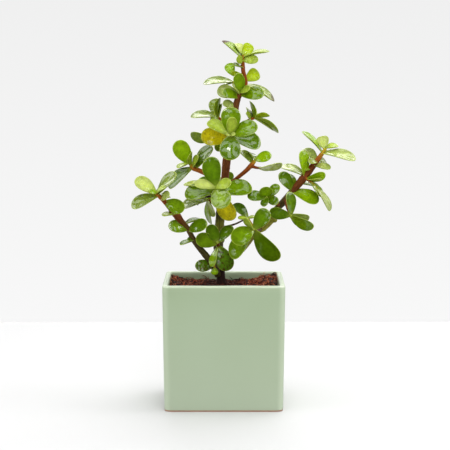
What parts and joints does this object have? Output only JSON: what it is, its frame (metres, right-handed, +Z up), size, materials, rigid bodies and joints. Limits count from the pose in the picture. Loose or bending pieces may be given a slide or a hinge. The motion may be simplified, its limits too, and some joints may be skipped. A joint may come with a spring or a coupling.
{
  "type": "potted jade plant",
  "caption": "Small jade plant with red-brown stems and thick rounded leaves, standing in soil in a square glazed ceramic pot.",
  "frame": {"origin": "centre of the flat underside of the pot, on the surface that it stands on", "axes": "+Z up along the stem, +X to the right of the front face, -Y towards the front"},
  "size_m": [0.1871, 0.1025, 0.3016],
  "materials": {
    "glaze": "gloss",
    "soil": "matte",
    "plant": "satin"
  },
  "bodies": {
    "root": {"pot": "glaze", "soil": "soil", "main_stem": "plant", "left_branch": "plant", "right_branch": "plant", "left_mid_branch": "plant", "right_mid_branch": "plant", "upper_left_sprig": "plant", "upper_right_sprig": "plant", "front_upper_sprig": "plant", "front_mid_sprig": "plant", "side_mid_sprig": "plant", "low_front_sprig": "plant", "right_outer_sprig": "plant", "right_inner_sprig": "plant", "right_low_sprig": "plant", "rear_upper_sprig": "plant", "rear_mid_sprig": "plant", "rear_low_sprig": "plant"}
  },
  "joints": []
}
